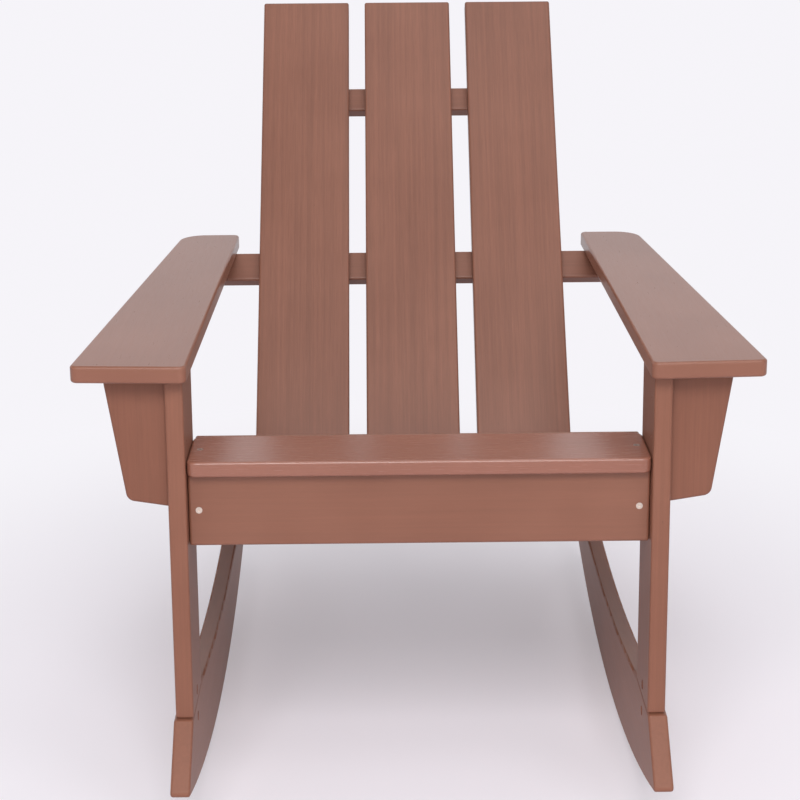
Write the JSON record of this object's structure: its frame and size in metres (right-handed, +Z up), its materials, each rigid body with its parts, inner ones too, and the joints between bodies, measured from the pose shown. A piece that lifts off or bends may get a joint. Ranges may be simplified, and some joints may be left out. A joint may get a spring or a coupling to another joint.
{
  "type": "rocking adirondack chair",
  "caption": "Rocking adirondack chair with a low sloping slatted seat, a reclined back of wide slats, flat wide arms and curved rockers.",
  "frame": {"origin": "on the floor, under the middle of the chair's width and depth, as it rests in balance", "axes": "+Z up, +Y from the sitter's knees to the back (the front faces -Y), +X to the right of a viewer who looks at the front"},
  "size_m": [0.7446, 0.9347, 0.8442],
  "materials": {
    "poly_lumber": "satin, brushed along each board",
    "stainless_steel": "satin",
    "brown_steel": "satin, in the colour of the boards",
    "dowel_plastic": "plain"
  },
  "bodies": {
    "root": {"left_rocker": "poly_lumber", "right_rocker": "poly_lumber", "left_leg": "poly_lumber", "right_leg": "poly_lumber", "left_stringer": "poly_lumber", "right_stringer": "poly_lumber", "front_apron": "poly_lumber", "seat_slat_front": "poly_lumber", "seat_slat_2": "poly_lumber", "seat_slat_3": "poly_lumber", "seat_slat_4": "poly_lumber", "seat_slat_5": "poly_lumber", "back_slat_left": "poly_lumber", "back_slat_middle": "poly_lumber", "back_slat_right": "poly_lumber", "upper_back_rail": "poly_lumber", "arm_back_rail": "poly_lumber", "lower_back_rail": "poly_lumber", "left_arm": "poly_lumber", "right_arm": "poly_lumber", "left_arm_bracket": "poly_lumber", "right_arm_bracket": "poly_lumber", "left_arm_plate": "stainless_steel", "right_arm_plate": "stainless_steel", "apron_screws": "stainless_steel", "arm_plate_screws": "stainless_steel", "arm_rail_slat_screws": "stainless_steel", "arm_screws": "stainless_steel", "barrel_nuts": "stainless_steel", "bracket_screws": "brown_steel", "leg_bolt_nuts": "stainless_steel", "leg_bolts": "stainless_steel", "leg_dowels": "dowel_plastic", "lower_rail_end_screws": "stainless_steel", "lower_rail_slat_screws": "stainless_steel", "rocker_bolt_nuts": "stainless_steel", "rocker_bolts": "stainless_steel", "rocker_studs": "stainless_steel", "seat_screws": "stainless_steel", "upper_rail_screws": "stainless_steel"}
  },
  "joints": []
}
